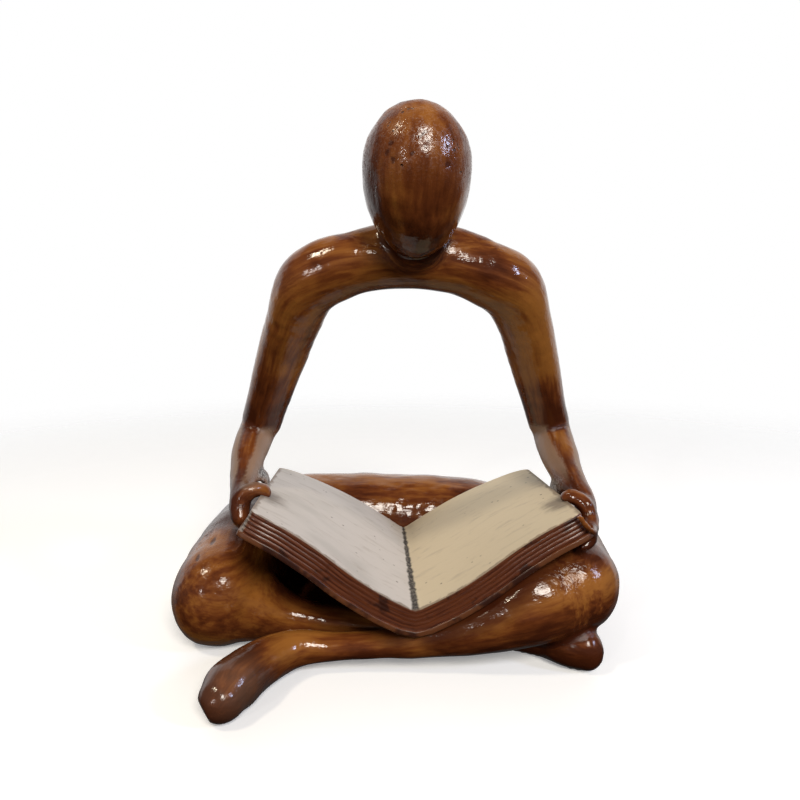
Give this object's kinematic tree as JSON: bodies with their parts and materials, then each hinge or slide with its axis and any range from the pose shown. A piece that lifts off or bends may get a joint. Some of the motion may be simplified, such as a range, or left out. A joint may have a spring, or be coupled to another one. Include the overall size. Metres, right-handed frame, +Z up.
{
  "type": "reading figure statue",
  "caption": "Seated abstract figure statue with crossed legs, an egg-shaped head and looped arms, holding an open book on its lap.",
  "frame": {"origin": "on the ground under the middle of the whole piece's footprint", "axes": "+Z up, the figure faces -Y, +X to the right of someone who looks at its front"},
  "size_m": [0.175, 0.1522, 0.1888],
  "materials": {
    "figure": "cast resin under brushed brown lacquer, high gloss",
    "book": "painted cast resin: off-white pages, brown layered page edges"
  },
  "bodies": {
    "root": {"figure": "figure", "book": "book"}
  },
  "joints": []
}
